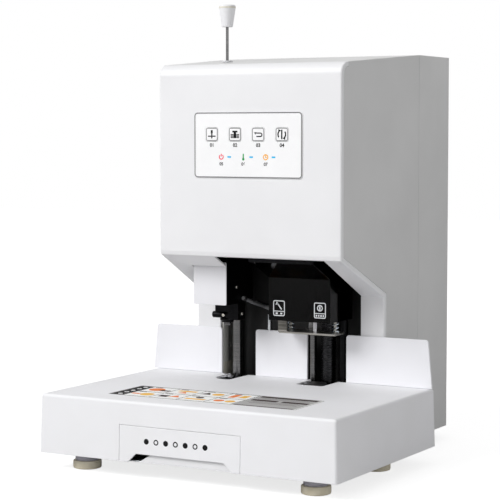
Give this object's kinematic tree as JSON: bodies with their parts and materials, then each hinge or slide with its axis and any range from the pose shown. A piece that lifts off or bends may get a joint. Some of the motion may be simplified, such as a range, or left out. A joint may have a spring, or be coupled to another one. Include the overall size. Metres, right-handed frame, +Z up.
{
  "type": "document riveting machine",
  "caption": "Desk machine with a motor-driven hollow drill and a heated rivet head over a low table with a fence, a chip drawer and a push-button panel.",
  "frame": {"origin": "on the floor, under the middle of the machine's width and length", "axes": "+Z up, +X to the operator's right, +Y to the rear"},
  "size_m": [0.43, 0.483, 0.608],
  "materials": {
    "white_cover": "moulded ABS, satin white",
    "grey_paint": "powder coat, satin grey",
    "white_paint": "powder coat, satin white",
    "black_paint": "matt black paint",
    "dark_grey_paint": "grey paint",
    "bare_steel": "ground steel",
    "polished_steel": "hard chrome, polished",
    "zinc_steel": "bright zinc plate",
    "black_steel": "black oxide",
    "grey_steel": "grey paint on a steel can",
    "aluminium": "milled aluminium",
    "black_plastic": "moulded, matt black",
    "grey_plastic": "moulded, matt grey",
    "foot_rubber": "moulded beige rubber",
    "black_rubber": "lead sheath",
    "smoked_acrylic": "polished smoked acrylic",
    "clear_lens": "diffusing lens film",
    "panel_film": "printed polyester film",
    "circuit_board": "solder mask"
  },
  "bodies": {
    "root": {"back_foot": "foot_rubber", "base_plate": "zinc_steel", "base_shell": "white_cover", "bed_plate": "bare_steel", "control_board": "circuit_board", "control_panel": "panel_film", "cutting_pad": "black_plastic", "drill_lift_motor": "black_plastic", "front_cover": "white_cover", "front_left_foot": "foot_rubber", "front_right_foot": "foot_rubber", "heater_lead": "black_rubber", "indicator_strip": "clear_lens", "left_drawer_runner": "zinc_steel", "left_drill_post": "polished_steel", "left_guide_plate": "white_paint", "left_side_panel": "grey_paint", "lower_die": "bare_steel", "main_frame": "zinc_steel", "middle_guide_plate": "white_paint", "middle_left_foot": "foot_rubber", "middle_right_foot": "foot_rubber", "power_inlet": "black_plastic", "power_supply": "zinc_steel", "rear_cover": "grey_paint", "recess_back_plate": "black_paint", "recess_left_plate": "dark_grey_paint", "right_drawer_runner": "zinc_steel", "right_drill_post": "black_steel", "right_guide_plate": "white_paint", "right_side_panel": "grey_paint", "rivet_lift_motor": "black_plastic", "rivet_post": "polished_steel", "rod_bushing": "grey_plastic", "smoked_cover": "smoked_acrylic", "top_mount_plate": "bare_steel", "top_panel": "grey_paint"},
    "drawer": {"chip_drawer": "white_cover"},
    "drill_head": {"drill_carriage": "aluminium", "drill_motor": "grey_steel", "laser_module": "black_steel", "left_press_spring": "zinc_steel", "right_press_spring": "zinc_steel"},
    "drill_tool": {"drill_spindle": "black_steel", "drill_bit": "polished_steel"},
    "press": {"press_plate": "bare_steel"},
    "drill_screw": {"drill_lead_screw": "black_steel"},
    "rivet_head": {"rivet_carriage": "black_steel", "head_cover": "white_paint", "upper_die_holder": "black_steel", "upper_die": "polished_steel"},
    "rivet_screw": {"rivet_lead_screw": "black_steel"},
    "rod": {"tube_rod": "bare_steel", "rod_knob": "white_cover"},
    "punch_key": {"key_punch": "panel_film"},
    "rivet_key": {"key_rivet": "panel_film"},
    "return_key": {"key_return": "panel_film"},
    "change_key": {"key_change": "panel_film"},
    "rocker": {"power_rocker": "black_plastic"}
  },
  "joints": [
    {"name": "drawer_slide", "type": "slide", "parent": "root", "child": "drawer", "axis": [0, -1, 0], "range_m": [0, 0.16]},
    {"name": "drill_lift", "type": "slide", "parent": "root", "child": "drill_head", "axis": [0, 0, -1], "range_m": [0, 0.0662]},
    {"name": "drill_spin", "type": "hinge", "parent": "drill_head", "child": "drill_tool", "pos_m": [0.0535, 0.0155, 0.262], "axis": [0, 0, 1], "continuous": true},
    {"name": "press_slide", "type": "slide", "parent": "drill_head", "child": "press", "axis": [0, 0, 1], "range_m": [0, 0.058], "stiffness_N_per_m": 250, "deforming": ["left_press_spring", "right_press_spring"]},
    {"name": "drill_screw_turn", "type": "hinge", "parent": "root", "child": "drill_screw", "pos_m": [0.0565, 0.0505, 0.0843], "axis": [0, 0, 1], "range_deg": [0, 2390]},
    {"name": "rivet_lift", "type": "slide", "parent": "root", "child": "rivet_head", "axis": [0, 0, -1], "range_m": [0, 0.0665]},
    {"name": "rivet_screw_turn", "type": "hinge", "parent": "root", "child": "rivet_screw", "pos_m": [-0.0945, 0.0605, 0.0843], "axis": [0, 0, 1], "range_deg": [0, 4790]},
    {"name": "rod_slide", "type": "slide", "parent": "root", "child": "rod", "axis": [0, 0, -1], "range_m": [0, 0.045]},
    {"name": "punch_key_press", "type": "slide", "parent": "root", "child": "punch_key", "axis": [0, 1, 0], "range_m": [0, 0.0008], "stiffness_N_per_m": 900},
    {"name": "rivet_key_press", "type": "slide", "parent": "root", "child": "rivet_key", "axis": [0, 1, 0], "range_m": [0, 0.0008], "stiffness_N_per_m": 900},
    {"name": "return_key_press", "type": "slide", "parent": "root", "child": "return_key", "axis": [0, 1, 0], "range_m": [0, 0.0008], "stiffness_N_per_m": 900},
    {"name": "change_key_press", "type": "slide", "parent": "root", "child": "change_key", "axis": [0, 1, 0], "range_m": [0, 0.0008], "stiffness_N_per_m": 900},
    {"name": "rocker_tilt", "type": "hinge", "parent": "root", "child": "rocker", "pos_m": [-0.095, 0.23474, 0.112], "axis": [-1, 0, 0], "range_deg": [0, 20]}
  ],
  "couplings": [
    {"joint": "drill_screw_turn", "follows": "drill_lift", "rad_per_m": 628.32},
    {"joint": "rivet_screw_turn", "follows": "rivet_lift", "rad_per_m": 1256.6}
  ]
}
